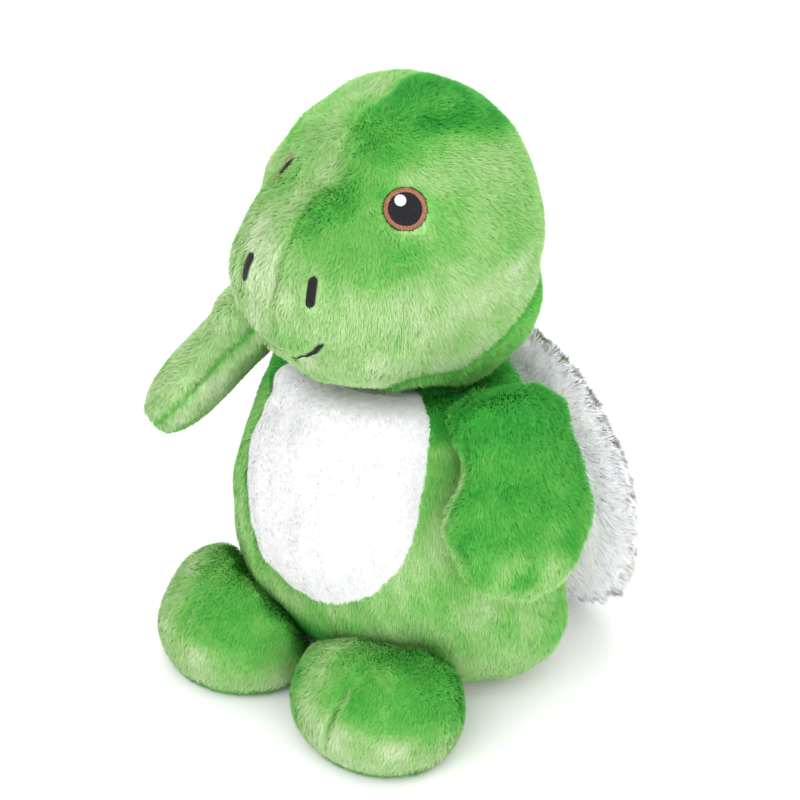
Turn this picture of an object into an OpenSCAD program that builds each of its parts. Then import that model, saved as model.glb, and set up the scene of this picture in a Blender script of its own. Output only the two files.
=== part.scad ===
// Sitting plush animal with a padded shell on its back.
// +Z is up, the toy faces -Y, and its own left side is +X.
// The origin is the middle of the flat seat that it sits on.

/* [Torso] */
// Height of the torso from the seat to the neck
torso_h = 160; // [156:1:162]
// Widest width of the torso
torso_w = 183; // [174:1:184]
// How far the belly reaches in front of the middle
belly_reach = 85; // [80:1:86]
// How far the back reaches behind the middle
back_reach = 64; // [56:1:65]
// Height at which the torso is widest
hips_z = 58; // [52:1:62]
// Half width of the flat seat
seat_r = 70; // [66:1:80]

/* [Head] */
// Width of the head
head_w = 132; // [120:1:140]
// Depth of the head without the snout
head_d = 134; // [120:1:138]
// Height of the crown above the middle of the head
crown_h = 71; // [60:1:80]
// Depth of the chin below the middle of the head
chin_h = 67; // [56:1:68]
// Height of the middle of the head above the seat
head_z = 238; // [238:1:250]
// Width of the snout
snout_w = 108; // [84:1:110]
// How far the snout reaches in front of the middle of the head
snout_reach = 92; // [78:1:98]

/* [Arms] */
// Length of an arm below its shoulder
arm_l = 79; // [70:1:84]
// Width of the hand
hand_w = 82; // [66:1:84]
// Thickness of a stuffed arm
arm_t = 34; // [28:1:35]
// Angle of the left arm away from straight down
left_arm_out = 22; // [21:1:40]
// Angle that the right arm hangs turned towards the front
right_arm_forward = 8; // [0:1:10]
// Angle of the raised right arm away from straight down
right_arm_out = 42; // [38:1:60]

/* [Feet] */
// Width of a foot
foot_w = 90; // [76:1:92]
// How far the toes reach in front of the middle of the torso
toe_reach = 112; // [106:1:118]
// Height of a foot
foot_h = 57; // [46:1:58]

/* [Shell] */
// Width of the shell at its widest
shell_w = 196; // [170:1:200]
// Height of the shell
shell_h = 168; // [150:1:172]
// How far the stuffed shell bulges behind its front face
shell_bulge = 34; // [24:1:40]

/* [Cloth and thread] */
// Thickness of the plush cloth with its pile
cloth_t = 3; // [2:0.5:4]
// Diameter of an embroidered eye
eye_d = 19.5; // [14:0.5:22]
// Height of an embroidered nostril
nostril_h = 14; // [8:1:18]

/* [Hidden] */

deep_green = "#38a63a";
light_green = "#a3cc7c";
white_plush = "#f2f2f2";
shell_green = "#b9cf86";
black_thread = "#2b2b2b";
brown_thread = "#9c6a48";
white_thread = "#fafafa";
stuffing_white = "#e8e6df";
pellet_grey = "#c9c9c4";

// Gap between two pieces of one body, such as along a seam
seam_gap = 0.4;
// Gap between two bodies that move against each other
body_gap = 1;
// Gap between the cloth and what fills it, so that their flat facets stay apart
fill_gap = 2.4;
// Steps around a soft form
around_n = 28;
// Steps around an exact round form
fine_n = 64;

// ---- Points on soft forms ----

// Direction at an angle around +Z and an angle down from +Z
function direction(around, down) =
    [cos(around) * sin(down), sin(around) * sin(down), cos(down)];

function divide(a, b) = [for (k = [0:len(a) - 1]) a[k] / b[k]];

function unit(v) = v / norm(v);

// Equally spaced values from first to last, in a number of steps
function spaced(first, last, steps) = [for (i = [0:steps]) first + (last - first) * i / steps];

// Shares from 0 to 1 that crowd towards both ends, where a form is rounded
function crowded(steps) = [for (i = [0:steps]) (1 - cos(180 * i / steps)) / 2];

// Angles once around, without the last one, which is the first again
function circle_angles(steps) = [for (j = [0:steps - 1]) j * 360 / steps];

// How wide a rounded end still is, at a share of the way into it
function rounding(share) = sqrt(max(1 - share * share, 0));

// Distance along direction d from the origin to the far side of an ellipsoid, or 0 if it misses
function ellipsoid_reach(d, middle, radii) =
    let (
        u = divide(d, radii),
        m = divide(middle, radii),
        root = pow(u * m, 2) - (u * u) * (m * m - 1)
    )
    root < 0 ? 0 : (u * m + sqrt(root)) / (u * u);

// The larger of two lengths, rounded where they are about equal
function smooth_max(a, b, blend) =
    let (near = max(blend - abs(a - b), 0) / blend)
    max(a, b) + near * near * blend / 4;

// ---- Solids from rows of points ----

function quad(a, b, c, d) = [[a, b, c], [a, c, d]];

// The faces whose three corners are three different points
function real_faces(points, faces) = [
    for (f = faces)
    if (
        norm(points[f[0]] - points[f[1]]) > 0.001
        && norm(points[f[1]] - points[f[2]]) > 0.001
        && norm(points[f[2]] - points[f[0]]) > 0.001
    )
    f
];

// A solid through closed rings of points, from the top ring down, with flat ends
module ring_solid(rings) {
    n = len(rings[0]);
    last = len(rings) - 1;
    points = [for (ring = rings) each ring];
    sides = [
        for (i = [0:last - 1], j = [0:n - 1])
        let (k = (j + 1) % n)
        each quad(i * n + j, i * n + k, (i + 1) * n + k, (i + 1) * n + j)
    ];
    ends = concat(
        [for (j = [1:n - 2]) [0, j + 1, j]],
        [for (j = [1:n - 2]) [last * n, last * n + j, last * n + j + 1]]
    );
    polyhedron(points, real_faces(points, concat(sides, ends)));
}

// A piece of cloth between an outer and an inner grid of points.
// Rows run down and columns run around. With wraps, the last column joins the first.
module cloth(outer, inner, wraps = false) {
    rows = len(outer);
    cols = len(outer[0]);
    steps = wraps ? cols : cols - 1;
    // index of the first point of the inner grid, and of the last outer row
    in = rows * cols;
    end = in - cols;
    points = concat([for (row = outer) each row], [for (row = inner) each row]);
    both_sides = [
        for (i = [0:rows - 2], j = [0:steps - 1])
        let (
            a = i * cols + j,
            b = i * cols + (j + 1) % cols
        )
        each concat(
            quad(a, b, b + cols, a + cols),
            quad(in + a + cols, in + b + cols, in + b, in + a)
        )
    ];
    top_and_bottom_edge = [
        for (j = [0:steps - 1])
        let (k = (j + 1) % cols)
        each concat(
            quad(k, j, in + j, in + k),
            quad(end + j, end + k, in + end + k, in + end + j)
        )
    ];
    left_and_right_edge = wraps ? [] : [
        for (i = [0:rows - 2])
        let (
            a = i * cols,
            b = a + cols - 1
        )
        each concat(
            quad(a, a + cols, in + a + cols, in + a),
            quad(b + cols, b, in + b, in + b + cols)
        )
    ];
    polyhedron(
        points,
        real_faces(points, concat(both_sides, top_and_bottom_edge, left_and_right_edge))
    );
}

module mirrored() {
    mirror([1, 0, 0]) children();
}

// ---- Head ----

head_middle = [0, 2, head_z];
head_rows = 10;
gusset_rows = 5;
// The crown is pointed a little, and the cheeks are full
crown_power = 1.78;
cheek_power = 4;
snout_middle = [0, snout_reach / -2, -13];
snout_radii = [snout_w / 2, snout_reach / 2 + 2, 45];
snout_blend = 16;

function head_radius(d) =
    let (
        level = norm(divide([d.x, d.y], [head_w / 2, head_d / 2])),
        rise = abs(d.z) / (d.z > 0 ? crown_h : chin_h),
        power = d.z > 0 ? crown_power : cheek_power,
        dome = pow(pow(level, power) + pow(rise, power), -1 / power)
    )
    smooth_max(dome, ellipsoid_reach(d, snout_middle, snout_radii), snout_blend);

function head_point(around, down, inset = 0) =
    let (d = direction(around, down))
    head_middle + d * (head_radius(d) - inset);

// The way out of the head's surface at a point on it
function head_normal(around, down) =
    unit(cross(
        head_point(around, down + 1) - head_point(around, down - 1),
        head_point(around + 1, down) - head_point(around - 1, down)
    ));

// The seam over the chin gusset runs low under the mouth and climbs to the back of the head
gusset_mid = 120;
gusset_rise = 27;
function gusset_down(around) = gusset_mid - gusset_rise * sin(around);

function head_side_grid(inset) = [
    for (share = spaced(0, 1, head_rows)) [
        for (around = spaced(-90, 90, around_n / 2))
        head_point(around, share * gusset_down(around), inset)
    ]
];

module head_side() {
    translate([seam_gap / 2, 0, 0]) cloth(head_side_grid(0), head_side_grid(cloth_t));
}

module head_side_left() {
    color(deep_green) head_side();
}

module head_side_right() {
    color(light_green) mirrored() head_side();
}

function gusset_grid(inset) = [
    for (share = spaced(0, 1, gusset_rows)) [
        for (around = circle_angles(around_n))
        let (first = gusset_down(around) + seam_gap)
        head_point(around, first + share * (180 - first), inset)
    ]
];

module head_underside() {
    color(deep_green) cloth(gusset_grid(0), gusset_grid(cloth_t), wraps = true);
}

module head_stuffing() {
    color(stuffing_white)
    ring_solid([
        for (down = spaced(0, 180, head_rows + gusset_rows)) [
            for (around = circle_angles(around_n)) head_point(around, down, cloth_t + fill_gap)
        ]
    ]);
}

// ---- Face ----

eye_around = -51;
// The eyes are sewn a little askew, towards the toy's left
eye_askew = 2;
eye_down = 61;
pupil_r = eye_d * 0.4;
glint_r = eye_d * 0.13;
// Degrees from the middle of the eye to its glint
glint_shift = [-2, -2.5];
thread_t = 1.2;
// Gap between two stitched pieces, and between the cloth and the stitches
stitch_gap = 0.1;
face_gap = 2;
// Radius of the curved face that the embroidery follows
face_r = 110;

// Places a piece on the left side of the face, with its +Z out of the cloth
module on_face(around, down) {
    n = head_normal(around, down);
    translate(head_point(around, down) + n * face_gap)
    rotate([0, acos(n.z), atan2(n.y, n.x)])
    children();
}

// A round patch of stitches, curved to the face, from an inner to an outer radius
module stitched_ring(inner_r, outer_r, lift = 0) {
    radii = spaced(inner_r, outer_r, 3);
    under = [for (r = radii) [r, lift - r * r / (2 * face_r)]];
    over = [for (k = [3:-1:0]) under[k] + [0, thread_t]];
    rotate_extrude($fn = fine_n) polygon(concat(under, over));
}

module eye_ring(askew) {
    color(brown_thread)
    on_face(eye_around + askew, eye_down)
    stitched_ring(pupil_r + stitch_gap, eye_d / 2);
}

module eye_pupil(askew) {
    color(black_thread) on_face(eye_around + askew, eye_down) stitched_ring(0, pupil_r);
}

// The glint is stitched over the pupil, up and towards the snout
module eye_glint(askew) {
    color(white_thread)
    on_face(eye_around + askew + glint_shift[0], eye_down + glint_shift[1])
    stitched_ring(0, glint_r, lift = thread_t + 2 * stitch_gap);
}

module eye_ring_left() { eye_ring(eye_askew); }
module eye_ring_right() { mirrored() eye_ring(-eye_askew); }
module eye_pupil_left() { eye_pupil(eye_askew); }
module eye_pupil_right() { mirrored() eye_pupil(-eye_askew); }
module eye_glint_left() { eye_glint(eye_askew); }
module eye_glint_right() { mirrored() eye_glint(-eye_askew); }

nostril_around = -77;
nostril_down = 89;
nostril_w = 4.5;

module nostril() {
    color(black_thread)
    on_face(nostril_around, nostril_down)
    linear_extrude(thread_t)
    for (end = [-1, 1]) {
        translate([end * (nostril_h - nostril_w) / 2, 0]) circle(d = nostril_w, $fn = fine_n);
        square([nostril_h - nostril_w, nostril_w], center = true);
    }
}

module nostril_left() { nostril(); }
module nostril_right() { mirrored() nostril(); }

// Each half of the smile is a stroke that starts thin beside the middle seam and ends thick
smile_start = [-87.5, 115.5];
smile_end = [-72, 104.5];
// Degrees that its middle lies below a straight line
smile_sag = 2.5;
smile_r = 1.6;
// Thickness at its start, and its height, as shares of its width at the end
smile_thin = 0.25;
smile_flat = 0.7;
// Share of its length after which the thick end rounds off
smile_tip = 0.85;
smile_sides = 8;
smile_rows = 10;

function smile_centre(t) =
    let (straight = smile_start + t * (smile_end - smile_start))
    straight + [0, smile_sag * 4 * t * (1 - t)];

function smile_ring(t) =
    let (
        c = smile_centre(t),
        ahead = smile_centre(t + 0.02),
        n = head_normal(c[0], c[1]),
        p = head_point(c[0], c[1]) + n * face_gap,
        along = unit(head_point(ahead[0], ahead[1]) - head_point(c[0], c[1])),
        side = cross(along, n),
        thick = smile_r * (smile_thin + (1 - smile_thin) * t),
        r = t > smile_tip ? thick * rounding((t - smile_tip) / (1 - smile_tip)) : thick
    )
    [
        for (a = circle_angles(smile_sides))
        p + n * (r * smile_flat * (1 + sin(a))) + side * (r * cos(a))
    ];

module smile() {
    color(black_thread) ring_solid([for (t = spaced(0, 1, smile_rows)) smile_ring(t)]);
}

module smile_left() { smile(); }
module smile_right() { mirrored() smile(); }

// ---- Neck ----

// The rolled seam allowance between the head and the torso, and the thread that gathers it
neck_roll_r = 2.2;
neck_seam_r = 24;
neck_thread_r = 0.8;
// The head moves about a point this far above the torso
neck_rise = 6;

module neck_ring(z, ring_r, cord_r) {
    translate([0, 0, torso_h + z])
    rotate_extrude($fn = fine_n)
    translate([ring_r, 0])
    circle(r = cord_r, $fn = fine_n / 4);
}

module neck_seam() {
    color(light_green) neck_ring(neck_roll_r + seam_gap, neck_seam_r, neck_roll_r);
}

module neck_thread() {
    ring_r = neck_seam_r - neck_roll_r - neck_thread_r - seam_gap;
    color(deep_green) neck_ring(neck_rise, ring_r, neck_thread_r);
}

// ---- Torso ----

// How far above the hips the upper curve of the torso would close
shoulder_span = 142;
// Height of the rounding between the seat and the sides
seat_edge = 32;
// How far the front is drawn in at the seat, between the feet, and up to which height
crotch_depth = 42;
crotch_z = 98;

// Share of the width of the torso's top that stays open for the neck
neck_opening = 0.48;

// Share of the widest width that the torso has at height z
function torso_share(z) =
    z > hips_z ? rounding((z - hips_z) / shoulder_span)
    : z > seat_edge ? 1
    : 1 - (1 - 2 * seat_r / torso_w) * (1 - rounding(1 - z / seat_edge));

// Half width and depth of the torso at height z without its rounding, at the front or at the back
function torso_wall(z, back) =
    let (front = belly_reach - crotch_depth * pow(max(1 - z / crotch_z, 0), 2))
    [torso_w / 2, back ? back_reach : front];

// The same with its rounding
function torso_reach(z, back) = torso_wall(z, back) * torso_share(z);

// A point of the torso. Any z above its top gives the edge of the neck opening.
function torso_point(around, z, inset = 0) =
    let (
        level = min(z, torso_h - inset),
        closing = z > torso_h ? neck_opening : 1,
        reach = (torso_reach(level, sin(around) > 0) - [inset, inset]) * closing
    )
    [cos(around) * reach.x, sin(around) * reach.y, level];

// Heights of the rows of the torso: from the neck down to the tip of the belly patch, then to the seat
belly_tip_z = 65;
belly_row_n = 10;
// The rows crowd towards the tip, where the patch is rounded
belly_crowd = 1.5;
skirt_z = cloth_t + seam_gap;
skirt_row_n = 4;
belly_rows = concat(
    [torso_h + 1],
    [
        for (share = spaced(1, 0, belly_row_n))
        belly_tip_z + pow(share, belly_crowd) * (torso_h - belly_tip_z)
    ]
);
torso_rows = concat(
    belly_rows,
    [for (k = [1:skirt_row_n]) belly_tip_z + (skirt_z - belly_tip_z) * k / skirt_row_n]
);

// The belly patch sits a little towards the toy's left
belly_around = -85;
// Half its width in degrees, near the tip and at the top
belly_low_angle = 29;
belly_top_angle = 46;
// Share of its height over which the lower end is rounded
belly_round = 0.5;
// Half the gap along a seam of the torso, in degrees
seam_angle = 0.4;
function belly_angle(z) =
    let (share = (z - belly_tip_z) / (torso_h - belly_tip_z))
    share <= 0 ? 0
    : (belly_low_angle + (belly_top_angle - belly_low_angle) * share)
        * rounding(max(1 - share / belly_round, 0));

side_cols = 12;
belly_cols = 8;

function side_left_grid(inset) = [
    for (z = torso_rows) [
        for (around = spaced(belly_around + belly_angle(z) + seam_angle, 90 - seam_angle, side_cols))
        torso_point(around, z, inset)
    ]
];

function side_right_grid(inset) = [
    for (z = torso_rows) [
        let (last = 360 + belly_around - belly_angle(z) - seam_angle)
        for (around = spaced(90 + seam_angle, last, side_cols))
        torso_point(around, z, inset)
    ]
];

function belly_grid(inset) = [
    for (z = belly_rows) [
        for (around = spaced(belly_around - belly_angle(z), belly_around + belly_angle(z), belly_cols))
        torso_point(around, z, inset)
    ]
];

module torso_side_left() {
    color(light_green) cloth(side_left_grid(0), side_left_grid(cloth_t));
}

module torso_side_right() {
    color(light_green) cloth(side_right_grid(0), side_right_grid(cloth_t));
}

module belly_patch() {
    color(white_plush) cloth(belly_grid(0), belly_grid(cloth_t));
}

module seat_base() {
    color(light_green)
    linear_extrude(cloth_t)
    polygon([
        for (around = circle_angles(around_n))
        let (p = torso_point(around, 0))
        [p.x, p.y]
    ]);
}

// The lower part of the torso holds a bag of pellets, and the rest is stuffing
bag_top_z = 34;

module torso_core(top, bottom, rows) {
    ring_solid([
        for (z = spaced(top, bottom, rows)) [
            for (around = circle_angles(around_n)) torso_point(around, z, cloth_t + fill_gap)
        ]
    ]);
}

module torso_stuffing() {
    color(stuffing_white) torso_core(torso_h - cloth_t - fill_gap, bag_top_z + seam_gap, 9);
}

module bean_bag() {
    color(pellet_grey) torso_core(bag_top_z, cloth_t + fill_gap, 4);
}

// ---- Arms ----

// Direction, height and distance of the middle of the left shoulder
shoulder_around = -17;
shoulder_z = 163;
shoulder_reach = 85;
shoulder = [cos(shoulder_around) * shoulder_reach, sin(shoulder_around) * shoulder_reach, shoulder_z];
// How far the root of the arm reaches above the shoulder
arm_root = 19;
// How blunt the root is, from 1 for a round one down to 0 for a square one
root_blunt = 0.7;
arm_root_w = 74;
// How much the front edge of the arm is drawn in halfway to the hand
arm_waist = 16;
// How blunt the edges of the arm's rounded ends are
arm_puff = 0.8;
arm_rows = 16;
arm_cols = 10;

// Share of the way from a start to the widest place of the hand, at a distance below the shoulder
function arm_share(start, below) =
    min(max((below - start) / (arm_l - hand_w / 2 - start), 0), 1);

// Half width of the arm without its waist, at a distance below the shoulder
function arm_half_w(below) =
    let (share = arm_share(0, below))
    (arm_root_w + (hand_w - arm_root_w) * share * share * (3 - 2 * share)) / 2;

// Half of how far the front edge is drawn in there
function arm_dip(below) = arm_waist / 2 * pow(sin(180 * arm_share(-arm_root, below)), 2);

// How much of its width the arm has left in its rounded root and hand
function arm_end(below, inset) =
    let (
        root = arm_root - inset,
        hand = hand_w / 2,
        tip = arm_l - inset
    )
    below < 0 ? pow(rounding(-below / root), root_blunt)
    : below > tip - hand ? rounding((below - tip + hand) / hand)
    : 1;

// A point of an arm that hangs straight down from the origin, with its outer face towards +X
function arm_point(around, share, inset) =
    let (
        first = -arm_root + inset,
        below = first + share * (arm_l - inset - first),
        end = arm_end(below, inset)
    )
    [
        cos(around) * (arm_t / 2 - inset) * pow(end, arm_puff),
        sin(around) * (arm_half_w(below) - arm_dip(below) - inset) * end + arm_dip(below),
        -below,
    ];

function arm_grid(from, to, inset) = [
    for (share = crowded(arm_rows)) [
        for (around = spaced(from, to, arm_cols)) arm_point(around, share, inset)
    ]
];

// Hangs a left arm from the left shoulder, at an angle away from straight down and one to the front
module hang_arm(out, forward) {
    translate(shoulder) rotate([0, -out, shoulder_around - forward]) children();
}

module arm_outer(out, forward = 0) {
    color(deep_green)
    hang_arm(out, forward)
    translate([seam_gap / 2, 0, 0])
    cloth(arm_grid(-90, 90, 0), arm_grid(-90, 90, cloth_t));
}

module arm_inner(out, forward = 0) {
    color(light_green)
    hang_arm(out, forward)
    translate([-seam_gap / 2, 0, 0])
    cloth(arm_grid(90, 270, 0), arm_grid(90, 270, cloth_t));
}

wad_r = arm_t / 2 - cloth_t - body_gap;

// The arm is packed below the loose wad in its root
module arm_stuffing(out, forward = 0) {
    first = (wad_r + body_gap + arm_root) / (arm_l + arm_root);
    color(stuffing_white)
    hang_arm(out, forward)
    ring_solid([
        for (share = crowded(arm_rows)) [
            for (around = circle_angles(2 * arm_cols))
            arm_point(around, first + share * (1 - first), cloth_t + fill_gap)
        ]
    ]);
}

module shoulder_wad() {
    color(stuffing_white) translate(shoulder) sphere(r = wad_r, $fn = fine_n);
}

module shoulder_wad_left() { shoulder_wad(); }
module arm_outer_left() { arm_outer(left_arm_out); }
module arm_inner_left() { arm_inner(left_arm_out); }
module arm_stuffing_left() { arm_stuffing(left_arm_out); }
module shoulder_wad_right() { mirrored() shoulder_wad(); }
module arm_outer_right() { mirrored() arm_outer(right_arm_out, right_arm_forward); }
module arm_inner_right() { mirrored() arm_inner(right_arm_out, right_arm_forward); }
module arm_stuffing_right() { mirrored() arm_stuffing(right_arm_out, right_arm_forward); }

// ---- Feet ----

foot_middle = [48, -74];
// Height at which a foot is widest, and the share of that width that its sole has
foot_wide_z = 20;
foot_flat = 0.84;
// How full the top of a foot is
foot_power = 2.3;
// The instep rises towards the torso, and stays this far in front of it
instep_shift = 6;
instep_gap = 4;
foot_n = 24;
foot_rows = 9;
// The rows crowd towards the top
foot_crowd = 1.6;

// Share of its width that a foot has at height z
function foot_share(z, top) =
    let (rise = min((z - foot_wide_z) / (top - foot_wide_z), 1))
    rise > 0 ? pow(1 - pow(rise, foot_power), 1 / foot_power)
    : foot_flat + (1 - foot_flat) * rounding(1 - z / foot_wide_z);

// Distance from a point along direction d to the near wall of the torso at height z
function torso_distance(from, d, z) =
    let (
        reach = torso_wall(z, false),
        u = divide(d, reach),
        m = divide(from, reach),
        root = pow(u * m, 2) - (u * u) * (m * m - 1)
    )
    root < 0 || u * m > 0 ? 1000 : (-(u * m) - sqrt(root)) / (u * u);

function foot_point(around, z, inset) =
    let (
        d = [cos(around), sin(around)],
        rise = max(z - foot_wide_z, 0) / (foot_h - foot_wide_z),
        middle = foot_middle + [0, instep_shift * rise * rise],
        radii = [foot_w / 2 - inset, toe_reach + foot_middle.y - inset],
        oval = foot_share(z, foot_h - inset) / norm(divide(d, radii)),
        limit = torso_distance(middle, d, z) - instep_gap - inset
    )
    [each middle + d * max(min(oval, limit), 0), z];

function foot_rings(top, bottom, inset) = [
    for (share = spaced(0, 1, foot_rows)) [
        for (around = circle_angles(foot_n))
        foot_point(around, top - (top - bottom) * pow(share, foot_crowd), inset)
    ]
];

module foot_top() {
    color(deep_green)
    cloth(
        foot_rings(foot_h, cloth_t + seam_gap, 0),
        foot_rings(foot_h - cloth_t, cloth_t + seam_gap, cloth_t),
        wraps = true
    );
}

module foot_sole() {
    color(light_green)
    ring_solid([for (z = [cloth_t, 0]) [for (around = circle_angles(foot_n)) foot_point(around, z, 0)]]);
}

module foot_stuffing() {
    inset = cloth_t + 2 * fill_gap;
    color(stuffing_white) ring_solid(foot_rings(foot_h - inset, cloth_t + fill_gap, inset));
}

module foot_top_left() { foot_top(); }
module foot_sole_left() { foot_sole(); }
module foot_stuffing_left() { foot_stuffing(); }
module foot_top_right() { mirrored() foot_top(); }
module foot_sole_right() { mirrored() foot_sole(); }
module foot_stuffing_right() { mirrored() foot_stuffing(); }

// ---- Shell ----

shell_bottom_z = 3;
// Height of the widest place above the bottom of the shell
shell_wide = 52;
// The top of the shell is pointed a little, and its bottom is full
shell_top_power = 1.8;
shell_bottom_power = 3.2;
shell_lean = 4;
// Gap between the back and the lower edge of the shell
shell_off = 6.5;
shell_n = 32;
shell_rows = 8;

// A point of the shell's outline at a share of its size, in its own plane with +Y up the back
function shell_outline(around, share, inset) =
    let (
        d = [cos(around), sin(around)],
        half_h = d.y > 0 ? shell_h - shell_wide : shell_wide,
        power = d.y > 0 ? shell_top_power : shell_bottom_power,
        reach = pow(
            pow(abs(d.x) / (shell_w / 2 - inset), power) + pow(abs(d.y) / (half_h - inset), power),
            -1 / power
        )
    )
    d * reach * share + [0, shell_wide];

// Rings of the bulging back of the shell, from its middle out to the edge
function shell_rings(depth, inset) = [
    for (share = spaced(0, 1, shell_rows))
    let (
        rise = 1 - sin(90 * share),
        size = rounding(rise)
    )
    [
        for (around = circle_angles(shell_n))
        [each shell_outline(around, size, inset), cloth_t + seam_gap + depth * rise]
    ]
];

// Stands the shell's own plane up against the back of the torso, +Z pointing back
module behind_back() {
    translate([0, back_reach + shell_off, shell_bottom_z])
    rotate([shell_lean, 0, 0])
    rotate([90, 0, 180])
    children();
}

module shell_front() {
    color(white_plush)
    behind_back()
    linear_extrude(cloth_t)
    polygon([for (around = circle_angles(shell_n)) shell_outline(around, 1, 0)]);
}

module shell_back() {
    color(shell_green)
    behind_back()
    cloth(shell_rings(shell_bulge, 0), shell_rings(shell_bulge - cloth_t, cloth_t), wraps = true);
}

module shell_padding() {
    inset = cloth_t + fill_gap;
    color(stuffing_white) behind_back() ring_solid(shell_rings(shell_bulge - inset, inset));
}

head_side_left();
head_side_right();
head_underside();
head_stuffing();
eye_ring_left();
eye_ring_right();
eye_pupil_left();
eye_pupil_right();
eye_glint_left();
eye_glint_right();
nostril_left();
nostril_right();
smile_left();
smile_right();
neck_seam();
neck_thread();
torso_side_left();
torso_side_right();
belly_patch();
seat_base();
torso_stuffing();
bean_bag();
shoulder_wad_left();
arm_outer_left();
arm_inner_left();
arm_stuffing_left();
shoulder_wad_right();
arm_outer_right();
arm_inner_right();
arm_stuffing_right();
foot_top_left();
foot_sole_left();
foot_stuffing_left();
foot_top_right();
foot_sole_right();
foot_stuffing_right();
shell_front();
shell_back();
shell_padding();
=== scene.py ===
"""The looks of a sitting plush animal with a padded shell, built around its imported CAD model."""

import functools
import math

import bpy
import numpy as np
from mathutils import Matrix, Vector
from mathutils.bvhtree import BVHTree


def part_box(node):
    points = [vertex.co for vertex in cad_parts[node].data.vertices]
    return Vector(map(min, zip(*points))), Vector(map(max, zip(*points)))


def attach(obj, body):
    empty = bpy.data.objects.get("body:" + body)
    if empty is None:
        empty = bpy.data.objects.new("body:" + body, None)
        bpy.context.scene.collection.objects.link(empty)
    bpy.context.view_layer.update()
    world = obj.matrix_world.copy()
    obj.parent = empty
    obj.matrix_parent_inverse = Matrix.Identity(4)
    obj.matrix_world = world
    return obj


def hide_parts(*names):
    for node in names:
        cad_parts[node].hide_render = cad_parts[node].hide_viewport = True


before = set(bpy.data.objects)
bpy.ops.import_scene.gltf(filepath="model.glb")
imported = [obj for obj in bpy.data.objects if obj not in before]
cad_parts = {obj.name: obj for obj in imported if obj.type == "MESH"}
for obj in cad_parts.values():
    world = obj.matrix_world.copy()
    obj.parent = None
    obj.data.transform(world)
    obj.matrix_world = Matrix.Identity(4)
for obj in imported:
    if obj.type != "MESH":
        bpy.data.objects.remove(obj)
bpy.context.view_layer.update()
random = np.random.default_rng(11)
UP = np.array([0.0, 0.0, 1.0])
MM = 0.001
# The plush faces -Y, so its left is towards +X
SIDES = {"left": 1, "right": -1}


# ---- Colours and materials ----

SPECULAR = 0.2


def linear(rgb):
    """An 8-bit screen colour as the linear colour that a shader takes."""
    c = np.array(rgb, float) / 255
    c = np.where(c <= 0.04045, c / 12.92, ((c + 0.055) / 1.055) ** 2.4)
    return (*c, 1.0)


# Pile colours, from fibres seen end-on to fibres seen along their paler sides. The greens are tones of one
# green pile that paint its nap's sheen and shade, and in places shade in seams, creases and under other
# parts.
# A groom's shade of 0 to 1 picks among them. The shell's white ones come first, then the yellow-green ones
# of its back
GREEN_SHEEN_SHADES = [(48, 154, 54), (62, 166, 60), (78, 176, 67), (95, 184, 77), (113, 192, 89),
          (131, 197, 102), (151, 203, 120), (169, 209, 139), (187, 217, 160), (207, 228, 186)]
WHITES = [(217, 218, 219), (220, 220, 221), (223, 223, 224), (227, 227, 228)]
SHELL_TONES = [(240, 242, 243), (247, 248, 250), (252, 252, 253),
               (228, 234, 204), (206, 219, 158), (184, 203, 122)]


def plain_material(name, rgb, roughness=0.8):
    """A material of one colour, for fibres: their variety comes from the many of them."""
    material = bpy.data.materials.new(name)
    material.use_nodes = True
    shader = material.node_tree.nodes["Principled BSDF"]
    shader.inputs["Base Color"].default_value = linear(rgb)
    shader.inputs["Roughness"].default_value = roughness
    shader.inputs["Specular IOR Level"].default_value = SPECULAR
    return material


def mottled_material(name, dark, light, size, roughness=0.9):
    """Two mixed colours with a fine relief, for the cloth under a pile, for fibre fill and for thread."""
    material = bpy.data.materials.new(name)
    material.use_nodes = True
    nodes = material.node_tree.nodes
    link = material.node_tree.links.new
    shader = nodes["Principled BSDF"]
    shader.inputs["Roughness"].default_value = roughness
    shader.inputs["Specular IOR Level"].default_value = SPECULAR
    where = nodes.new("ShaderNodeTexCoord")
    noise = nodes.new("ShaderNodeTexNoise")
    noise.inputs["Scale"].default_value = 1 / size
    noise.inputs["Detail"].default_value = 4
    ramp = nodes.new("ShaderNodeValToRGB")
    ramp.color_ramp.elements[0].position = 0.35
    ramp.color_ramp.elements[0].color = linear(dark)
    ramp.color_ramp.elements[1].position = 0.65
    ramp.color_ramp.elements[1].color = linear(light)
    relief = nodes.new("ShaderNodeBump")
    relief.inputs["Strength"].default_value = 0.4
    relief.inputs["Distance"].default_value = MM
    link(where.outputs["Object"], noise.inputs["Vector"])
    link(noise.outputs["Fac"], ramp.inputs["Fac"])
    link(ramp.outputs["Color"], shader.inputs["Base Color"])
    link(noise.outputs["Fac"], relief.inputs["Height"])
    link(relief.outputs["Normal"], shader.inputs["Normal"])
    return material


green_pile = [plain_material(f"green_pile_{i}", rgb) for i, rgb in enumerate(GREEN_SHEEN_SHADES)]
white_pile = [plain_material(f"white_pile_{i}", rgb) for i, rgb in enumerate(WHITES)]
shell_pile = [plain_material(f"shell_pile_{i}", rgb) for i, rgb in enumerate(SHELL_TONES)]


def grounds_of(name, tones):
    """The cloth under a pile: one mottled material between each two of its colours."""
    return [
        mottled_material(f"{name}_ground_{i}", tones[i], tones[i + 1], 4 * MM)
        for i in range(0, len(tones) - 1, 2)
    ]


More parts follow.
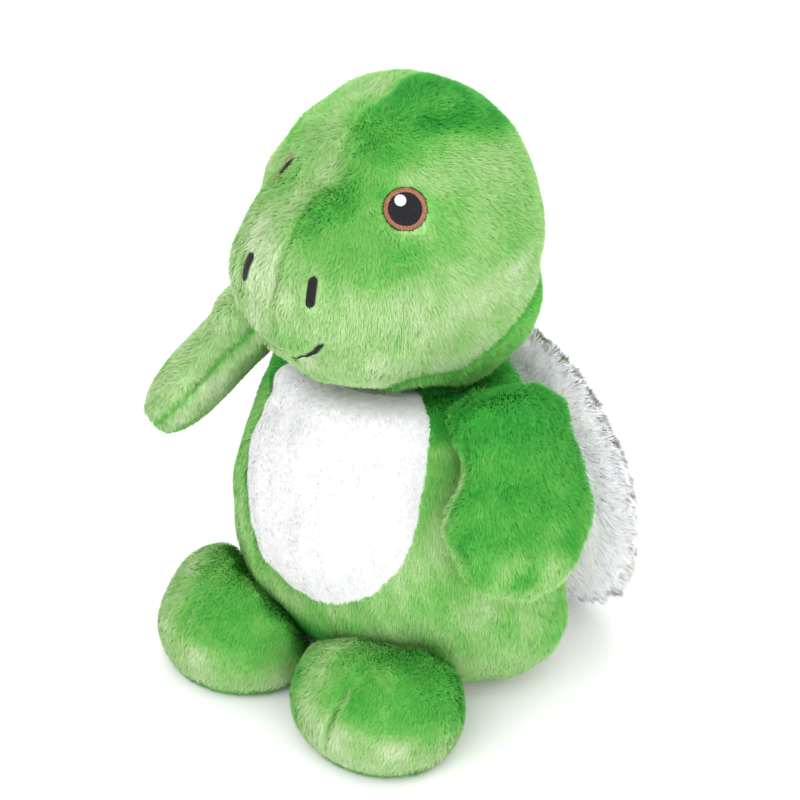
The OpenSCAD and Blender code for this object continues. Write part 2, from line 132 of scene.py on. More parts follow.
green_grounds = grounds_of("green", GREEN_SHEEN_SHADES)
white_grounds = grounds_of("white", WHITES)
shell_grounds = grounds_of("shell", SHELL_TONES)
fibre_fill = mottled_material("fibre_fill", (214, 212, 205), (240, 239, 234), 3 * MM)
pellet_bag = mottled_material("pellet_bag", (188, 188, 182), (216, 216, 210), 1.5 * MM)
black_thread = mottled_material("black_thread", (12, 12, 14), (42, 42, 46), 0.5 * MM, roughness=0.5)
brown_thread = mottled_material("brown_thread", (112, 66, 50), (182, 124, 100), 0.5 * MM, roughness=0.5)
dark_thread = mottled_material("dark_thread", (38, 24, 18), (70, 46, 34), 0.5 * MM, roughness=0.6)
white_thread = mottled_material("white_thread", (232, 232, 238), (254, 254, 254), 0.5 * MM, roughness=0.5)
green_thread = mottled_material("green_thread", (24, 92, 32), (52, 130, 52), 0.5 * MM, roughness=0.6)


# ---- Meshes ----

def new_object(name, data):
    obj = bpy.data.objects.new(name, data)
    bpy.context.scene.collection.objects.link(obj)
    return obj


def points_of(mesh):
    co = np.empty(len(mesh.vertices) * 3)
    mesh.vertices.foreach_get("co", co)
    return co.reshape(-1, 3)


def set_points(mesh, points):
    mesh.vertices.foreach_set("co", np.asarray(points, float).ravel())
    mesh.update()


def normals_of(mesh):
    co = np.empty(len(mesh.vertices) * 3)
    mesh.vertices.foreach_get("normal", co)
    return co.reshape(-1, 3)


def middle_of(node):
    """The mean of a CAD node's points."""
    return points_of(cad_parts[node].data).mean(0)


def apply_modifiers(obj):
    graph = bpy.context.evaluated_depsgraph_get()
    mesh = bpy.data.meshes.new_from_object(obj.evaluated_get(graph))
    obj.modifiers.clear()
    obj.data = mesh


def unit(vectors):
    return vectors / np.maximum(np.linalg.norm(vectors, axis=-1, keepdims=True), 1e-12)


def waves(points, size, seed):
    """Smooth variation of about -1 to 1 over points, with features about size across."""
    source = np.random.default_rng(seed)
    total = np.zeros(len(points))
    count = 7
    for _ in range(count):
        wave = unit(source.normal(size=3)) * 2 * math.pi / (size * source.uniform(0.8, 2.2))
        total += np.sin(points @ wave + source.uniform(0, 2 * math.pi))
    return total / math.sqrt(count / 2)


def smoothstep(low, high, x):
    t = np.clip((x - low) / (high - low), 0, 1)
    return t * t * (3 - 2 * t)


def spot(points, middle, size):
    """1 at the middle, falling smoothly to 0 at about twice the size. Middle and size are in mm."""
    distance = np.linalg.norm((points / MM - np.array(middle)) / np.array(size), axis=1)
    return np.exp(-distance ** 2)


def edges_of(mesh):
    pairs = np.empty(len(mesh.edges) * 2, int)
    mesh.edges.foreach_get("vertices", pairs)
    return pairs.reshape(-1, 2)


def relax(mesh, rounds, strength=0.5):
    """Moves each vertex towards the middle of its neighbours."""
    points, pairs = points_of(mesh), edges_of(mesh)
    degree = np.bincount(pairs.ravel(), minlength=len(points))[:, None]
    for _ in range(rounds):
        total = np.zeros_like(points)
        np.add.at(total, pairs[:, 0], points[pairs[:, 1]])
        np.add.at(total, pairs[:, 1], points[pairs[:, 0]])
        points = points + strength * (total / degree - points)
    set_points(mesh, points)


# ---- Soft forms over the CAD solids ----

@functools.cache
def tree_of(*nodes):
    """A tree for finding the places of CAD nodes."""
    points, faces = [], []
    for name in nodes:
        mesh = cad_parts[name].data
        start = len(points)
        points += [v.co.copy() for v in mesh.vertices]
        faces += [[start + i for i in p.vertices] for p in mesh.polygons]
    return BVHTree.FromPolygons(points, faces)


def distances(tree, points):
    return np.array([tree.find_nearest(Vector(p))[3] for p in points])


def cast_form(name, nodes, level=5):
    """A smooth closed mesh over the outside of CAD nodes that bulge around their middle.

    Rays from well outside find the nodes' surface in every direction.
    """
    lows, highs = zip(*[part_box(n) for n in nodes])
    low, high = np.min(lows, axis=0), np.max(highs, axis=0)
    middle, half = (low + high) / 2, (high - low) / 2
    bpy.ops.mesh.primitive_ico_sphere_add(subdivisions=level, radius=1)
    obj = bpy.context.object
    obj.name = name
    tree = tree_of(*nodes)
    points = []
    for direction in points_of(obj.data):
        out = Vector(direction * half)
        start = Vector(middle) + out * 3
        hit = tree.ray_cast(start, -out.normalized())[0]
        points.append(hit if hit is not None else Vector(middle) + out * 0.9)
    set_points(obj.data, np.array(points))
    relax(obj.data, 3)
    return obj


CLOTH_FRAMES = 20


def simulate_cloth(obj, held, pressure):
    """Blows a form up as cloth with no weight. held marks the vertices that stay where they are."""
    group = obj.vertex_groups.new(name="held")
    group.add([int(i) for i in np.flatnonzero(held)], 1.0, "REPLACE")
    cloth = obj.modifiers.new("Cloth", "CLOTH")
    cloth.settings.vertex_group_mass = "held"
    cloth.settings.use_pressure = True
    cloth.settings.uniform_pressure_force = pressure
    cloth.settings.effector_weights.gravity = 0
    cloth.settings.tension_stiffness = 12
    cloth.settings.compression_stiffness = 12
    cloth.settings.bending_stiffness = 0.6
    for step in range(CLOTH_FRAMES):
        bpy.context.scene.frame_set(step + 1)
    apply_modifiers(obj)
    bpy.context.scene.frame_set(1)
    obj.vertex_groups.clear()


def swell(obj, nodes, held, travel, pressure, voxel=5 * MM):
    """Stuffs the form: cloth under pressure, which swells by up to travel and is held where it is sewn."""
    remesh = obj.modifiers.new("Remesh", "REMESH")
    remesh.mode = "VOXEL"
    remesh.voxel_size = voxel
    apply_modifiers(obj)
    # Remeshing rounds thin places off, so the form is first laid back on the CAD
    tree = tree_of(*nodes)
    before = np.array([tree.find_nearest(Vector(p))[0] for p in points_of(obj.data)])
    set_points(obj.data, before)
    simulate_cloth(obj, held(before), pressure)
    moved = points_of(obj.data) - before
    length = np.linalg.norm(moved, axis=1, keepdims=True)
    set_points(obj.data, before + moved * np.minimum(1, travel / np.maximum(length, 1e-9)))
    for _ in range(2):
        relax(obj.data, 1, 0.4)
        subdivide = obj.modifiers.new("Subdivide", "SUBSURF")
        subdivide.levels = 1
        apply_modifiers(obj)


# Depth of the pile, in mm, by which the woven cloth lies inside the CAD's outline
PILE_DEPTH = 1.3


def shape(obj, push):
    """Moves each vertex out along its normal by push(points, normals), in mm, to lie under the pile."""
    points, normals = points_of(obj.data), normals_of(obj.data)
    out = push(points, normals) - PILE_DEPTH
    set_points(obj.data, points + normals * out[:, None] * MM)


def near_both(first, second, reach):
    """A test for points within reach of two CAD nodes, which is where their seam runs."""
    a, b = tree_of(first), tree_of(second)
    return lambda points: (distances(a, points) < reach) & (distances(b, points) < reach)


def all_distances(points, nodes):
    """Each point's distance from each CAD node, as {node: distances}."""
    return {node: distances(tree_of(node), points) for node in nodes}


# How far from both of its panels a seam's groove fades out
SEAM_REACH = 6 * MM


def groove(near, first, second, width):
    """1 along the seam between two CAD nodes, falling to 0 at about twice the width on both sides."""
    off = (near[first] - near[second]) / width
    far = np.minimum(near[first], near[second]) / SEAM_REACH
    return np.exp(-off * off - far * far)


def either(*tests):
    """A test for points that pass at least one of the tests."""
    return lambda points: np.any([test(points) for test in tests], axis=0)


# ---- Plush cloth ----

class Plush:
    """A kind of plush cloth. groom(points, normals) gives its nap, length in mm, lift and shade.

    The nap is the way that the fibres lie, and their lift goes from 0, lying flat, to 1, standing up.
    The shade goes from 0, the first of the fibres' colours, to 1, the last; on the green cloths it paints
    light:
    the nap's sheen and shade, and in places shade in seams, creases and under other parts. glow is how far
    light that spreads inside the pile brightens its lower sides, along is how much of a fibre's facing is its
    own direction, and sparkle is how far the facing varies. Widths are in mm.
    """

    def __init__(self, groom, grounds, fibres, per_mm2=2.6, width=0.32, glow=0.0, along=0.15, sparkle=0.07):
        self.groom = groom
        self.grounds = grounds
        self.fibres = fibres
        self.per_mm2 = per_mm2
        self.width = width
        self.glow = glow
        self.along = along
        self.sparkle = sparkle


def panels_of(obj, nodes):
    """For each face, which of the CAD nodes it lies on."""
    centres = np.array([p.center for p in obj.data.polygons])
    return np.argmin([distances(tree_of(n), centres) for n in nodes], axis=0)


def cut_panel(obj, name, keep, plush):
    """A copy of the form's faces that keep marks, as a piece of plush cloth without its pile."""
    mesh = obj.data
    faces = [list(mesh.polygons[i].vertices) for i in np.flatnonzero(keep)]
    used = sorted({v for f in faces for v in f})
    index = {v: i for i, v in enumerate(used)}
    points = points_of(mesh)[used]
    new = bpy.data.meshes.new(name)
    new.from_pydata(points.tolist(), [], [[index[v] for v in f] for f in faces])
    new.polygons.foreach_set("use_smooth", [True] * len(faces))
    for ground in plush.grounds:
        new.materials.append(ground)
    centres = np.array([p.center for p in new.polygons])
    normals = np.array([p.normal for p in new.polygons])
    shade = plush.groom(centres, normals)[3]
    slot = np.clip(np.round(shade * (len(plush.grounds) - 1)), 0, len(plush.grounds) - 1)
    new.polygons.foreach_set("material_index", slot.astype(np.int32))
    return new_object(name, new)


def scatter(mesh, per_mm2):
    """Random roots on a mesh's faces, and the smooth normals there."""
    mesh.calc_loop_triangles()
    corners = np.empty(len(mesh.loop_triangles) * 3, int)
    mesh.loop_triangles.foreach_get("vertices", corners)
    corners = corners.reshape(-1, 3)
    points, normals = points_of(mesh), normals_of(mesh)
    a, b, c = (points[corners[:, k]] for k in range(3))
    area = np.linalg.norm(np.cross(b - a, c - a), axis=1) / 2
    count = int(area.sum() / MM ** 2 * per_mm2)
    face = random.choice(len(area), size=count, p=area / area.sum())
    u, v = random.random(count), random.random(count)
    flip = u + v > 1
    u, v = np.where(flip, 1 - u, u), np.where(flip, 1 - v, v)
    share = np.stack([1 - u - v, u, v], axis=1)[:, :, None]
    return (points[corners[face]] * share).sum(1), unit((normals[corners[face]] * share).sum(1))


def along_surface(direction, normals):
    """The part of a direction that lies in the surface."""
    direction = np.broadcast_to(direction, normals.shape)
    return unit(direction - normals * (direction * normals).sum(1, keepdims=True))


# Corners of one fibre: a quad from its root to its middle, and a triangle from there to its tip
FIBRE_POINTS = 5
FIBRE_LOOPS = [0, 1, 2, 3, 3, 2, 4]
FIBRE_FACES = [0, 4]
SHORTEST_FIBRE = 0.3
ROOT_DEPTH = 0.4 * MM


def fibre_mesh(name, corners, lit, tone, materials):
    """A mesh of fibres from their corners, with a normal and a material for each fibre."""
    count = len(corners)
    mesh = bpy.data.meshes.new(name)
    mesh.vertices.add(count * FIBRE_POINTS)
    mesh.vertices.foreach_set("co", corners.ravel())
    loops = (np.arange(count)[:, None] * FIBRE_POINTS + FIBRE_LOOPS).ravel()
    mesh.loops.add(len(loops))
    mesh.loops.foreach_set("vertex_index", loops.astype(np.int32))
    starts = (np.arange(count)[:, None] * len(FIBRE_LOOPS) + FIBRE_FACES).ravel()
    mesh.polygons.add(len(starts))
    mesh.polygons.foreach_set("loop_start", starts.astype(np.int32))
    mesh.polygons.foreach_set("material_index", np.repeat(tone, len(FIBRE_FACES)).astype(np.int32))
    mesh.polygons.foreach_set("use_smooth", [True] * len(starts))
    for material in materials:
        mesh.materials.append(material)
    mesh.update(calc_edges=True)
    custom = mesh.attributes.new("custom_normal", "FLOAT_VECTOR", "POINT")
    custom.data.foreach_set("vector", np.repeat(lit, FIBRE_POINTS, axis=0).ravel().astype(np.float32))
    mesh.update()
    return mesh


def pile(name, ground, plush):
    """The fibres on a piece of plush cloth."""
    per_mm2, width = plush.per_mm2, plush.width
    roots, normals = scatter(ground.data, per_mm2)
    nap, length, lift, shade = plush.groom(roots, normals)
    keep = length > SHORTEST_FIBRE
    roots, normals, nap, length, lift, shade = (x[keep] for x in (roots, normals, nap, length, lift, shade))
    count = len(roots)
    # Fibres lean together in small locks, and each a little its own way
    locks = np.stack([waves(roots, 6 * MM, seed) for seed in (1, 2, 3)], axis=1)
    nap = along_surface(nap + 0.15 * locks + 0.18 * random.normal(size=(count, 3)), normals)
    lift = np.clip(lift + 0.08 * random.normal(size=count), 0.05, 1)[:, None]
    long = (length * random.uniform(0.8, 1.15, count) * MM)[:, None]
    # Each fibre rises from its root to its middle, and bends over from there to its tip
    rise = unit(normals * lift + nap * (1 - lift))
    fall = unit(normals * lift * 0.45 + nap * (1 - lift * 0.45))
    middles = roots + rise * long * 0.5
    tips = middles + fall * long * 0.5
    # Each is a flat strip, rolled a little about its own length, and its root is hidden in the cloth
    across = unit(np.cross(nap, normals))
    roll = random.normal(0, 0.5, count)[:, None]
    half = (np.cos(roll) * across + np.sin(roll) * np.cross(across, rise)) * width / 2 * MM
    roots = roots - normals * ROOT_DEPTH
    corners = np.stack([roots - half, roots + half, middles + half * 0.8, middles - half * 0.8, tips], axis=1)
    corners[:, :, 2] = np.maximum(corners[:, :, 2], 0)
    tone = shade + 0.05 * random.normal(size=count) + 0.03 * waves(roots, 4 * MM, 4)
    tone = np.round(np.clip(tone, 0, 1) * (len(plush.fibres) - 1))
    facing = normals * (1 - plush.along) + rise * plush.along + UP * plush.glow
    lit = unit(facing + plush.sparkle * random.normal(size=(count, 3)))
    return new_object(name, fibre_mesh(name, corners, lit, tone, plush.fibres))


# How far above the floor the woven cloth stays
FLOOR_GAP = 0.3 * MM


def cover(form, body, cloths):
    """Cuts a form into panels, each of its own plush, and sets them on a body. cloths is {node: plush}."""
    points = points_of(form.data)
    points[:, 2] = np.maximum(points[:, 2], FLOOR_GAP)
    set_points(form.data, points)
    faces = panels_of(form, list(cloths))
    for i, (node, plush) in enumerate(cloths.items()):
        piece = cut_panel(form, f"{node}_cloth", faces == i, plush)
        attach(piece, body)
        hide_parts(node)
        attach(pile(f"{node}_pile", piece, plush), body)
    bpy.data.objects.remove(form)


def blended(base, zones):
    """A field that takes each zone's value where its weight is 1. zones is [(weight, value)]."""
    for weight, value in zones:
        base = base * (1 - weight) + value * weight
    return base


# ---- Head ----

# What the embroidery keeps bare of pile
EYE_BARE_R = 9.8 * MM
# The right eye lies in a fold, where the pile of the temple closes over its far edge
FOLDED_BARE_R = 7.5 * MM
FOLD_SHIFT = np.array([3.6, -2.0, 1.2]) * MM
NOSTRIL_R = 2.2 * MM
NOSTRIL_HALF = 4.6 * MM
SMILE_HALF = 1.2 * MM
HEAD_PANELS = ["head_side_left", "head_side_right", "head_underside"]
HEAD_SEAMS = [
    ("head_side_left", "head_side_right"),
    ("head_side_left", "head_underside"),
    ("head_side_right", "head_underside"),
]

head = cast_form("head", HEAD_PANELS)
swell(
    head,
    HEAD_PANELS,
    either(*(near_both(*pair, 3.5 * MM) for pair in HEAD_SEAMS)),
    travel=2 * MM,
    pressure=3,
)


def head_creases(points, normals):
    """The seams, the tuck on the snout, the hollows of the eyes, and the full cheeks, jaw and crown."""
    x, y, z = (points / MM).T
    front = smoothstep(-45, -75, y)
    near = all_distances(points, HEAD_PANELS)
    middle_seam, left_seam, right_seam = (groove(near, *pair, 1.6 * MM) for pair in HEAD_SEAMS)
    seams = -1.8 * middle_seam * front * smoothstep(262, 245, z) - 0.4 * middle_seam
    seams -= 1.6 * np.maximum(left_seam, right_seam) * (1 - front)
    # The cloth stands up beside the snout's seam, and is drawn in along a tuck right of it
    lip = 1.0 * np.exp(-(((x - 5) / 4) ** 2)) * front * smoothstep(250, 240, z)
    tuck_x = x + 27 + 0.1 * (z - 240)
    tuck = -2.0 * np.exp(-((tuck_x / 2.4) ** 2)) * spot(points, (-27, -82, 238), (30, 30, 18))
    # The right eye lies deep between the two sides of a fold
    left_eye, right_eye = (middle_of(f"eye_pupil_{side}") / MM for side in SIDES)
    hollow = -1.8 * spot(points, left_eye, (14, 14, 14)) - 4.2 * spot(points, right_eye, (10, 9, 13))
    fold_sides = 4.6 * spot(points, (-23, -54, 275), (9, 9, 14))
    fold_sides += 3.0 * spot(points, (-50, -37, 266), (11, 11, 14))
    brow = 1.6 * spot(points, (14, -62, 262), (12, 14, 12))
    full = brow + 2.5 * spot(points, (40, 16, 296), (22, 22, 14))
    for sign in SIDES.values():
        full += 5.0 * spot(points, (sign * 50, 20, 200), (22, 24, 18))
        full += 4.0 * spot(points, (sign * 30, -24, 178), (32, 42, 14))
    lumps = 0.7 * waves(points, 45 * MM, 21) + 0.3 * waves(points, 18 * MM, 22)
    return seams + lip + tuck + hollow + fold_sides + full + lumps


shape(head, head_creases)
head_tree = BVHTree.FromPolygons([v.co for v in head.data.vertices], [p.vertices for p in head.data.polygons])


def face_place(node):
    """Where a stitched CAD node sits on the head's cloth, with the ways across, up and out of the face."""
    points = points_of(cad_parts[node].data)
    middle = points.mean(0)
    out = np.linalg.svd(points - middle)[2][2]
    out = out * np.sign(out @ (middle - middle_of("head_stuffing")))
    across = unit(np.cross(UP, out))
    return np.array(head_tree.find_nearest(Vector(middle))[0]), across, np.cross(out, across), out


eye_places = {side: face_place(f"eye_pupil_{side}") for side in SIDES}
nostril_places = {side: face_place(f"nostril_{side}") for side in SIDES}


def smile_line(side):
    """Points along a half of the smile, on the head's cloth, from its thin end to its thick one."""
    points = points_of(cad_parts[f"smile_{side}"].data)
    order = points[np.argsort(points[:, 0] * SIDES[side])]
    line = [group.mean(0) for group in np.array_split(order, 14)]
    return np.array([head_tree.find_nearest(Vector(p))[0] for p in line])


smiles = {side: smile_line(side) for side in SIDES}


def from_line(points, line):
    """Distance of each point from the nearest point of a line, which is a list of close points."""
    return np.min([np.linalg.norm(points - p, axis=1) for p in line], axis=0)


def from_stitches(points):
    """Distance of each point from the edge of the nearest embroidery."""
    folded = eye_places["right"][0] + FOLD_SHIFT
    gaps = [
        np.linalg.norm(points - eye_places["left"][0], axis=1) - EYE_BARE_R,
        np.linalg.norm(points - folded, axis=1) - FOLDED_BARE_R,
    ]
    for middle, _, up, _ in nostril_places.values():
        reaches = np.linspace(-NOSTRIL_HALF, NOSTRIL_HALF, 7)
        gaps.append(from_line(points, [middle + up * reach for reach in reaches]) - NOSTRIL_R)
    gaps += [from_line(points, line) - SMILE_HALF for line in smiles.values()]
    return np.min(gaps, axis=0)


def groom_head(points, normals):
    """Painted nap sheen: deep green over the left brow, bridge, crown, pale on the right side and snout."""
    x, y, z = (points / MM).T
    near = all_distances(points, HEAD_PANELS)
    middle_seam, left_seam, right_seam = (groove(near, *pair, 0.9 * MM) for pair in HEAD_SEAMS)
    left = smoothstep(-2, 5, x)
    right = smoothstep(2, -5, x)
    front = smoothstep(-36, -50, y)
    snout = smoothstep(-50, -75, y)
    crown = smoothstep(280, 291, z - 0.10 * np.abs(x) + 0.25 * (y - 5))
    bridge = smoothstep(252, 260, z + 0.05 * x) * smoothstep(30, 22, x + 0.6 * (z - 262)) * front
    brow = smoothstep(262, 272, z) * smoothstep(-24, -34, y)
    jaw = smoothstep(246, 234, z - 0.06 * (x - 40) + 0.04 * (y + 60))
    mottle = waves(points, 14 * MM, 34)
    blotches = waves(points, 24 * MM, 31)
    shade = blended(0.60 + 0.07 * blotches + 0.04 * waves(points, 9 * MM, 32), [
        # The back of the head, and the nape below it
        (smoothstep(-5, 25, y), 0.66 + 0.05 * blotches),
        (smoothstep(25, 45, y) * smoothstep(290, 270, z), 0.68),
        # The left side, from its brow up over the crown, and the paler temple
        (left * brow, 0.42 + 0.06 * mottle),
        (spot(points, (22, -32, 290), (18, 14, 8)), 0.28),
        (left * crown, 0.12 + 0.06 * mottle),
        (spot(points, (50, -6, 268), (14, 14, 12)), 0.72),
        # The bridge of the snout, and around the left eye: inside it, painted shade under it, and behind it
        (bridge * smoothstep(-12, -2, x), 0.33 + 0.05 * mottle),
        (spot(points, (26, -66, 256), (14, 12, 12)), 0.44),
        (spot(points, (46, -52, 252), (10, 13, 8)), 0.34),
        (spot(points, (62, 4, 246), (9, 14, 9)), 0.54),
        # The right side, which is paler between the eye and the seam and on the snout
        (right, 0.63 + 0.08 * mottle),
        (spot(points, (-4, -46, 278), (10, 16, 10)), 0.84),
        (right * snout, 0.86 + 0.06 * mottle),
        # The jaw and the front of the snout, with painted shade between nostril and smile
        (jaw, 0.80 + 0.05 * mottle),
        (spot(points, (-10, -88, 238), (16, 18, 16)), 0.98),
        (spot(points, (12, -86, 214), (14, 12, 9)), 0.62),
        # A pale streak of painted nap sheen over the left eye, and painted shadow in the snout's seam
        (spot(points, (36, -36, 280), (10, 10, 5)), 0.84),
        (middle_seam * smoothstep(-60, -75, y) * smoothstep(250, 240, z), 0.50),
    ])
    # Painted shade in the seams around the underside, behind the snout; the underside itself takes a middle
    # tone, paler low under the chin
    under = near["head_underside"] < np.minimum(near["head_side_left"], near["head_side_right"])
    shade = np.where(under, 0.38 + 0.06 * mottle, shade)
    shade = blended(shade, [
        (under * smoothstep(190, 178, z), 0.55),
        (np.maximum(left_seam, right_seam) * smoothstep(-60, -40, y), 0.12),
    ])
    lift = 0.86 - 0.50 * shade
    # The pile is clipped short around the embroidery, and hangs longer under the chin
    clear = from_stitches(points) / MM
    chin = 3 * under * smoothstep(188, 180, z)
    length = np.minimum(3.9 + 0.8 * shade + chin, 0.9 + 0.8 * clear)
    length = np.where(clear < 0, 0, length)
    back = smoothstep(-60, -20, y)
    nap = along_surface(-UP + np.stack([0 * x, 0.9 * back - 0.15, 0 * x], axis=1), normals)
    return nap, length, lift, shade


head_plush = Plush(groom_head, green_grounds, green_pile)
cover(head, "head", {node: head_plush for node in HEAD_PANELS})


# ---- Torso ----

TORSO_PANELS = ["torso_side_left", "torso_side_right", "belly_patch", "seat_base"]
TORSO_NODES = [*TORSO_PANELS, "torso_stuffing"]
TORSO_SEAMS = [
    ("torso_side_left", "belly_patch"),
    ("torso_side_right", "belly_patch"),
    ("torso_side_left", "torso_side_right"),
]
torso = cast_form("torso", TORSO_NODES)
swell(
    torso,
    TORSO_NODES,
    either(
        *(near_both(*pair, 4 * MM) for pair in TORSO_SEAMS),
        lambda points: points[:, 2] < 8 * MM,
        lambda points: points[:, 2] > 150 * MM,
    ),
    travel=2 * MM,
    pressure=3,
)


def torso_folds(points, normals):
    """Lumps of the stuffing, the full hips, and the rounded top that the head sits on."""
    lumps = 0.9 * waves(points, 40 * MM, 41) + 0.4 * waves(points, 16 * MM, 42)
    # The top fills out around the neck, to meet the head
    out = np.linalg.norm(points[:, :2], axis=1) / MM
    top = smoothstep(150, 159, points[:, 2] / MM) * smoothstep(26, 34, out)
    hips = 5.5 * sum(spot(points, (sign * 84, 16, 38), (28, 40, 28)) for sign in SIDES.values())
    lumps = lumps * smoothstep(0, 12 * MM, points[:, 2]) * (1 - top)
    return lumps + hips * smoothstep(0, 6 * MM, points[:, 2]) + 7 * top * smoothstep(86, 66, out)


shape(torso, torso_folds)


def groom_torso(points, normals):
    """A middle green, paler towards the seat, with painted shade between the feet and under the head."""
    z = points[:, 2] / MM
    shade = blended(0.65 + 0.07 * waves(points, 30 * MM, 51) + 0.04 * waves(points, 9 * MM, 52), [
        # The seat, painted shade in the crotch, and the lower end of the belly patch
        (smoothstep(40, 24, z), 0.73),
        (spot(points, (-6, -62, 34), (24, 22, 14)), 0.15),
        (spot(points, (10, -84, 60), (8, 9, 6)), 0.30),
        # Painted shade on the top under the head and along the floor's edge, and deeper patches beside the
        # belly patch and on the right shoulder
        (smoothstep(150, 158, z), 0.10),
        (spot(points, (56, -58, 132), (9, 12, 30)), 0.50),
        (spot(points, (-60, -35, 150), (16, 20, 14)), 0.40),
        (smoothstep(6, 2, z), 0.45),
    ])
    lift = 0.74 - 0.48 * shade
    # The seat's pile is pressed flat by the floor
    length = np.where(z < 1.5, 1.2, 4.2)
    return along_surface(-UP, normals), length, lift, shade


def groom_white(points, normals):
    """The belly's short white pile, which lies nearly flat."""
    shade = 0.55 + 0.10 * waves(points, 26 * MM, 61)
    length = 2.0 + 0 * shade
    return along_surface(-UP, normals), length, 0.12 + 0 * shade, shade


torso_plush = Plush(groom_torso, green_grounds, green_pile)
belly_plush = Plush(groom_white, white_grounds, white_pile, per_mm2=3.6, glow=0.2, sparkle=0.02)
torso_cloths = {node: belly_plush if node == "belly_patch" else torso_plush for node in TORSO_PANELS}
cover(torso, "torso", torso_cloths)


# ---- Arms ----

def arm(side):
    """A flat arm of two panels, in painted nap sheen: the left deep outside and pale inside, the right pale.
    """
    panels = [f"arm_outer_{side}", f"arm_inner_{side}"]
    form = cast_form(f"arm_{side}", panels)
    swell(form, panels, near_both(*panels, 2.5 * MM), travel=1.5 * MM, pressure=3, voxel=4 * MM)
    hand, root = (corner.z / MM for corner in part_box(panels[0]))

    def ruffles(points, normals):
        """The seam around the arm, which is drawn in here and there, and the stuffing's lumps."""
        near = all_distances(points, panels)
        seam = groove(near, *panels, 1.6 * MM)
        near_seam = groove(near, *panels, 7 * MM)
        near_root = smoothstep(root - 22, root - 4, points[:, 2] / MM)
        full_root = 4.5 * near_root * smoothstep(0, 0.7, normals[:, 2])
        lumps = 0.7 * near_seam * waves(points, 9 * MM, 73) + 0.6 * waves(points, 25 * MM, 71)
        return lumps - 1.2 * seam + full_root

    shape(form, ruffles)

    def groom(points, normals):
        _, y, z = (points / MM).T
        near = all_distances(points, panels)
        ripple = 0.05 * waves(points, 14 * MM, 72)
        rim = groove(near, *panels, 4 * MM)
        if side == "left":
            inner = near[panels[1]] < near[panels[0]]
            shade = blended(0.20 + ripple, [
                # Painted shade at the root, under the head; the hand, the tip of the hand, and the front rim
                # between them
                (smoothstep(hand + 64, hand + 88, z), 0.08),
                (smoothstep(hand + 46, hand + 20, z), 0.44 + 2.5 * ripple),
                (smoothstep(hand + 18, hand + 8, z), 0.72 + ripple),
                (0.7 * rim * smoothstep(20, 60, -y) * smoothstep(hand + 72, hand + 56, z), 0.62),
            ])
            # The inside is pale, with painted shade towards the root, between arm and body
            shade = np.where(inner, 0.66 - 0.5 * smoothstep(root - 34, root - 16, z) + ripple, shade)
            crease = smoothstep(hand + 14, hand + 6, z)
        else:
            shade = blended(0.84 + ripple, [
                # Two deeper patches on the front, and painted shade on the underside, which faces down
                (spot(points, (-84, -58, 168), (12, 12, 9)), 0.52),
                (spot(points, (-112, -42, 138), (13, 14, 9)), 0.50),
                (smoothstep(-0.55, -0.85, normals[:, 2]), 0.40),
            ])
            crease = 1
        # Painted shade in the seam's crease, all round the right arm and near the hand on the left
        shade = blended(shade, [(0.8 * crease * groove(near, *panels, 1.2 * MM), 0.15)])
        return along_surface(-UP, normals), 3.8 + 0.8 * shade, 0.84 - 0.5 * shade, shade

    plush = Plush(groom, green_grounds, green_pile)
    cover(form, f"arm_{side}", {node: plush for node in panels})


for side in SIDES:
    arm(side)


# ---- Feet ----

# A tuck leans up over the toes of each foot, in mm. The left one is drawn in deeper
TUCK_X = 49
TUCK_Z = 28
TUCK_LEAN = 0.18
TUCK_DEPTHS = {"left": 3.2, "right": 0.8}
SOLE_SEAM_Z = 5


def foot(side):
    """A stub foot in painted nap sheen and shade, deep green on top, and pale on its right side and its toes.
    """
    panels = [f"foot_top_{side}", f"foot_sole_{side}"]
    form = cast_form(f"foot_{side}", panels)
    swell(form, panels, lambda points: points[:, 2] < 5 * MM, travel=1.5 * MM, pressure=3, voxel=4 * MM)
    sign = SIDES[side]
    depth = TUCK_DEPTHS[side]

    def from_tuck(points):
        """How far points are beside the tuck that runs up the toes, in mm."""
        x, _, z = (points / MM).T
        return sign * x - TUCK_X - TUCK_LEAN * (z - TUCK_Z)

    def tuck_zone(points):
        return spot(points, (sign * TUCK_X, -106, TUCK_Z + 6), (14, 16, 15))

    def tucks(points, normals):
        """A tuck in the toes, a groove along the sole's seam and the stuffing's lumps."""
        z = points[:, 2] / MM
        tuck = -depth * np.exp(-(from_tuck(points) / 2.0) ** 2) * tuck_zone(points)
        sole = -0.8 * np.exp(-(((z - SOLE_SEAM_Z) / 2) ** 2))
        return tuck + sole + 0.7 * waves(points, 30 * MM, 81) * smoothstep(3, 12, z)

    shape(form, tucks)

    def groom(points, normals):
        z = points[:, 2] / MM
        low = smoothstep(0.42, -0.05, normals[:, 2] + 0.4 * normals[:, 1] + 0.1)
        right = smoothstep(-0.15, 0.45, -normals[:, 0])
        shade = blended(0.33 + 0.05 * waves(points, 16 * MM, 82), [
            # Deep at the top beside the torso, and pale on the right side and low down
            (spot(points, (sign * 82, -60, 44), (16, 24, 14)), 0.24),
            (right, 0.76 + 0.05 * waves(points, 12 * MM, 84)),
            (low, 0.82 + 0.06 * waves(points, 20 * MM, 83)),
            # Painted shade between the feet, along the floor, and in the tuck
            (spot(points, (sign * 18, -92, 30), (12, 16, 14)), 0.36),
            (smoothstep(9, 4, z), 0.30),
            (np.exp(-(from_tuck(points) / 1.2) ** 2) * tuck_zone(points) * depth / TUCK_DEPTHS["left"], 0.1),
        ])
        # The sole's pile is pressed flat by the floor
        length = np.where(z < 1.2, 1.0, 4.0)
        nap = along_surface(np.array([0, -0.6, -0.8]), normals)
        return nap, length, 0.84 - 0.5 * shade, shade

    plush = Plush(groom, green_grounds, green_pile)
    cover(form, f"foot_{side}", {node: plush for node in panels})


for side in SIDES:
    foot(side)


# ---- Shell ----

